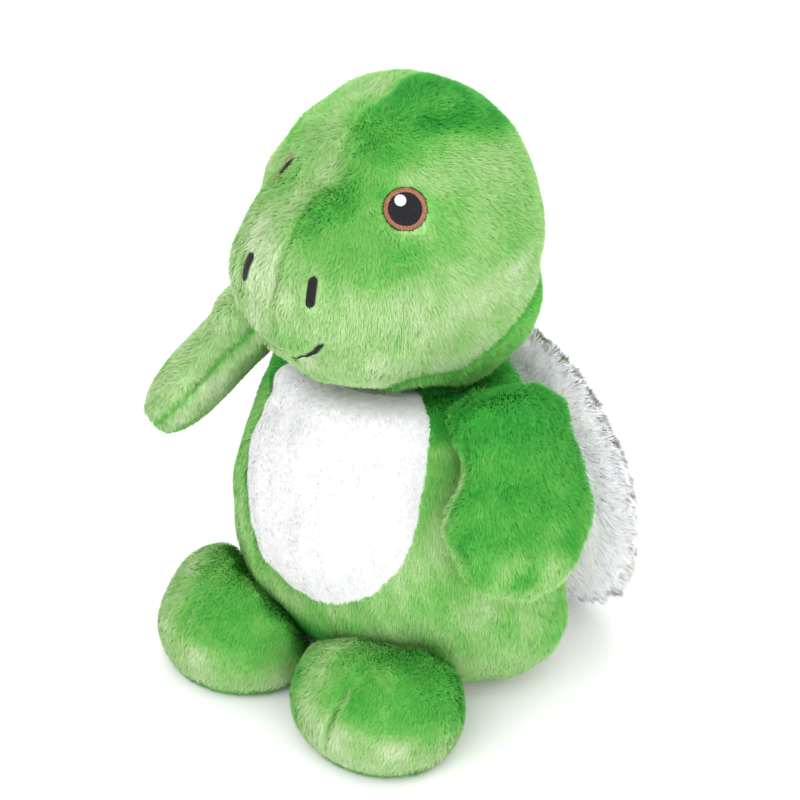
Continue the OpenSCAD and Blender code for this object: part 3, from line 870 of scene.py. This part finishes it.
SHELL_PANELS = ["shell_front", "shell_back"]
shell = cast_form("shell", SHELL_PANELS)
swell(shell, SHELL_PANELS, near_both(*SHELL_PANELS, 3 * MM), travel=4 * MM, pressure=4)
shape(shell, lambda points, normals: 1.0 * waves(points, 45 * MM, 91))
shell_middle = np.mean(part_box("shell_front"), axis=0)


def groom_shell(points, normals):
    """White in front and around the rim, and yellow-green on the back."""
    away = unit((points - shell_middle) * (1, 0, 1))
    near = all_distances(points, SHELL_PANELS)
    rim = smoothstep(26, 12, np.abs(near["shell_front"] - near["shell_back"]) / MM)
    back = smoothstep(0.15, 0.45, normals[:, 1])
    # A few tufts of the back's pile show over the rim, and one grey spot near its lower corner
    tuft = smoothstep(0.0, 0.8, waves(points, 9 * MM, 93)) * spot(points, (52, 74, 156), (26, 20, 20))
    grey = spot(points, (96, 70, 44), (6, 10, 6))
    green = np.maximum(back * (1 - rim), np.minimum(1, 1.6 * tuft) * smoothstep(0.0, 0.3, normals[:, 1]))
    yellow = 0.88 + 0.05 * waves(points, 12 * MM, 94)
    shade = blended(0.24 + 0.06 * waves(points, 22 * MM, 92), [(green, yellow), (0.6 * grey, 0.7)])
    nap = along_surface(away * (0.35 + 0.65 * rim)[:, None] - UP * 0.6 * (1 - rim)[:, None], normals)
    front = smoothstep(-0.3, -0.7, normals[:, 1])
    length = 5 - 2 * front + rim * np.clip(2.5 + 1.5 * waves(points, 5 * MM, 95), 1, 5)
    outward = np.abs((away * normals).sum(1))
    return nap, length, 0.34 - 0.12 * front + 0.45 * outward ** 3, shade


shell_plush = Plush(
    groom_shell, shell_grounds, shell_pile, per_mm2=2.2, width=0.4, glow=0.4, along=0.6, sparkle=0.04
)
cover(shell, "shell", {node: shell_plush for node in SHELL_PANELS})


# ---- Stuffing, pellets and seams, which the cloth hides ----

FILL_RELIEF = 0.6


def filling(node, body, material):
    """A lumpy soft solid inside the cloth."""
    form = cast_form(f"{node}_fill", [node], level=4)
    shape(form, lambda points, normals: FILL_RELIEF * waves(points, 10 * MM, 101) - FILL_RELIEF)
    form.data.materials.append(material)
    form.data.polygons.foreach_set("use_smooth", [True] * len(form.data.polygons))
    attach(form, body)
    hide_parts(node)


filling("head_stuffing", "head", fibre_fill)
filling("torso_stuffing", "torso", fibre_fill)
filling("bean_bag", "torso", pellet_bag)
filling("shell_padding", "shell", fibre_fill)
for side in SIDES:
    filling(f"arm_stuffing_{side}", f"arm_{side}", fibre_fill)
    filling(f"shoulder_wad_{side}", f"shoulder_{side}", fibre_fill)
    filling(f"foot_stuffing_{side}", f"foot_{side}", fibre_fill)

for node, material in (("neck_seam", green_grounds[0]), ("neck_thread", green_thread)):
    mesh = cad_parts[node].data
    mesh.materials.clear()
    mesh.materials.append(material)


# ---- Embroidery ----

# Stitches are dropped onto the cloth from this far out
WELL_CLEAR = 20 * MM


def on_cloth(place, a, b, lift):
    """The point of the head's cloth at a across and b up from a place, raised by lift, and the way out."""
    middle, across, up, out = place
    start = middle + across * a + up * b + out * WELL_CLEAR
    hit, normal, _, _ = head_tree.ray_cast(Vector(start), Vector(-out))
    # Mostly the face's own way out, so that stitches side by side stay level
    normal = unit(np.array(normal) + 2 * out)
    return np.array(hit) + normal * lift, normal


# The points along a stitch, and the angles around its rounded back
STITCH_STEPS = 6
RIDGE_ANGLES = np.linspace(0, math.pi, 5)


def satin(name, node, strokes, width, material):
    """Stitches side by side, each a low rounded ridge. Each stroke is a list of (point, way out)."""
    points, faces = [], []
    for stroke in strokes:
        base = len(points)
        along = unit(stroke[-1][0] - stroke[0][0])
        for k, (point, out) in enumerate(stroke):
            side = unit(np.cross(out, along))
            # Lower at its ends, where it goes into the cloth
            high = 0.35 + 0.65 * math.sqrt(max(math.sin(math.pi * k / (len(stroke) - 1)), 0))
            for angle in RIDGE_ANGLES:
                ridge = side * math.cos(angle) * width / 2 + out * math.sin(angle) * width * 0.6 * high
                points.append(point + ridge)
        ridge_n = len(RIDGE_ANGLES)
        for i in range(len(stroke) - 1):
            row = base + i * ridge_n
            for j in range(ridge_n - 1):
                faces.append([row + j, row + j + 1, row + ridge_n + j + 1, row + ridge_n + j])
    mesh = bpy.data.meshes.new(name)
    mesh.from_pydata([tuple(p) for p in points], [], faces)
    mesh.polygons.foreach_set("use_smooth", [True] * len(faces))
    mesh.materials.append(material)
    obj = new_object(name, mesh)
    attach(obj, "head")
    if node:
        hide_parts(node)


def stroke_between(place, start, end, lift):
    """One stitch over the cloth, between two points given as across and up from a place."""
    shares = np.linspace(0, 1, STITCH_STEPS)
    ends = np.array(start), np.array(end)
    return [on_cloth(place, *(ends[0] + (ends[1] - ends[0]) * share), lift) for share in shares]


# How far the stitches that fill a disc run off from across, in radians
DISC_TILT = 0.5


def disc_strokes(place, middle, radius, pitch, lift):
    """Parallel stitches that fill a disc."""
    along = np.array([math.cos(DISC_TILT), math.sin(DISC_TILT)])
    over = np.array([-along[1], along[0]])
    strokes = []
    for off in np.arange(-radius + pitch / 2, radius, pitch):
        half = math.sqrt(radius * radius - off * off)
        centre = np.array(middle) + over * off
        strokes.append(stroke_between(place, centre - along * half, centre + along * half, lift))
    return strokes


def ring_strokes(place, inner, outer, count, lift, ragged=0.0):
    """Stitches across a ring, each ending up to ragged further out."""
    strokes = []
    for angle in np.linspace(0, 2 * math.pi, count, endpoint=False):
        way = np.array([math.cos(angle), math.sin(angle)])
        strokes.append(stroke_between(place, way * inner, way * (outer + random.uniform(0, ragged)), lift))
    return strokes


# The distance between fine stitches, and between coarse ones in the pupil
PITCH = 0.5 * MM
THREAD_PITCH = 0.8 * MM
PUPIL_R = 7.8 * MM
RING_R = 9.4 * MM
GLINT_R = 2.5 * MM
RING_STITCHES = 130
OUTLINE_STITCHES = 90
# How far the patches of stitches overlap at their edges
EDGE = 0.2 * MM


def eye(side, place):
    """A black pupil, a brown ring with a thin ragged outline around it, and a white glint on top."""
    pupil = disc_strokes(place, (0, 0), PUPIL_R, THREAD_PITCH, 0.9 * MM)
    satin(f"eye_pupil_{side}_stitches", f"eye_pupil_{side}", pupil, THREAD_PITCH * 1.05, black_thread)
    ring = ring_strokes(place, PUPIL_R - EDGE, RING_R, RING_STITCHES, 1.0 * MM)
    satin(f"eye_ring_{side}_stitches", f"eye_ring_{side}", ring, PITCH * 1.15, brown_thread)
    outline = ring_strokes(place, RING_R - EDGE, RING_R + EDGE, OUTLINE_STITCHES, 0.8 * MM, ragged=0.9 * MM)
    satin(f"eye_outline_{side}_stitches", None, outline, PITCH * 0.9, dark_thread)
    middle, across, up, _ = place
    away = middle_of(f"eye_glint_{side}") - middle
    glint = disc_strokes(place, (away @ across, away @ up), GLINT_R, PITCH, 1.3 * MM)
    satin(f"eye_glint_{side}_stitches", f"eye_glint_{side}", glint, PITCH * 1.3, white_thread)


def nostril(side, place):
    """Stitches across an upright slot with round ends."""
    strokes = []
    for high in np.arange(-NOSTRIL_HALF - NOSTRIL_R, NOSTRIL_HALF + NOSTRIL_R, PITCH):
        into_end = max(abs(high) - NOSTRIL_HALF, 0) / NOSTRIL_R
        half = NOSTRIL_R * math.sqrt(max(1 - into_end * into_end, 0.02))
        strokes.append(stroke_between(place, (-half, high), (half, high + PITCH), 0.9 * MM))
    satin(f"nostril_{side}_stitches", f"nostril_{side}", strokes, PITCH * 1.25, black_thread)


SMILE_STITCHES = 48


def smile(side, line):
    """Stitches across a half of the smile, which thickens towards its outer end and is rounded there."""
    strokes = []
    shares = np.linspace(0, 1, SMILE_STITCHES)
    spine = np.stack([np.interp(shares, np.linspace(0, 1, len(line)), line[:, k]) for k in range(3)], axis=1)
    for k in range(1, len(spine) - 1):
        along = unit(spine[k + 1] - spine[k - 1])
        normal = np.array(head_tree.find_nearest(Vector(spine[k]))[1])
        end = min(1, 6 * (1 - shares[k]))
        half = (0.4 + 1.3 * shares[k] ** 1.5) * math.sqrt(end) * MM
        over = unit(np.cross(normal, along)) * half
        middle = spine[k] + normal * 1.1 * MM
        strokes.append([(middle + over * share, normal) for share in (-1, 0, 1)])
    satin(f"smile_{side}_stitches", f"smile_{side}", strokes, 0.6 * MM, black_thread)


for side in SIDES:
    eye(side, eye_places[side])
for side in SIDES:
    nostril(side, nostril_places[side])
for side in SIDES:
    smile(side, smiles[side])


# ---- Floor, light and camera ----

# The camera looks at the plush's middle from its front left, from above. Its lens and sensor are in mm
AZIMUTH = math.radians(40)
ELEVATION = math.radians(30)
DISTANCE = 0.90
LENS = 81
SENSOR = 36
MIDDLE = Vector((0, 0, 0.140))
# What the lamps are turned towards
LIT_PLACE = Vector((0, 0, 0.15))


def stage_floor():
    bpy.ops.mesh.primitive_plane_add(size=8)
    floor = bpy.context.object
    floor.name = "floor"
    floor.data.materials.append(plain_material("pale_floor", (246, 246, 246), 0.9))


def soft_light(name, place, size, power):
    """A square lamp at a place, turned towards the plush. Size is in metres and power in watts."""
    lamp = bpy.data.lights.new(name, "AREA")
    lamp.size = size
    lamp.energy = power
    obj = new_object(name, lamp)
    obj.location = place
    obj.rotation_euler = (LIT_PLACE - Vector(place)).to_track_quat("-Z", "Y").to_euler()


def white_world(strength):
    """Even white light from all around."""
    world = bpy.data.worlds.new("studio")
    world.use_nodes = True
    background = world.node_tree.nodes["Background"]
    background.inputs["Color"].default_value = (1, 1, 1, 1)
    background.inputs["Strength"].default_value = strength
    bpy.context.scene.world = world


def set_camera():
    data = bpy.data.cameras.new("camera")
    data.sensor_width = SENSOR
    data.lens = LENS
    camera = new_object("camera", data)
    towards = Vector((
        math.sin(AZIMUTH) * math.cos(ELEVATION),
        -math.cos(AZIMUTH) * math.cos(ELEVATION),
        math.sin(ELEVATION),
    ))
    camera.location = MIDDLE + towards * DISTANCE
    camera.rotation_euler = (-towards).to_track_quat("-Z", "Y").to_euler()
    bpy.context.scene.camera = camera


stage_floor()
soft_light("key", (0.2, -1.6, 1.8), size=1.6, power=16)
soft_light("fill", (1.8, -0.9, 0.9), size=1.8, power=17)
soft_light("back", (-0.8, 1.6, 1.5), size=1.6, power=14)
white_world(1.22)
bpy.context.scene.view_settings.view_transform = "Standard"
set_camera()
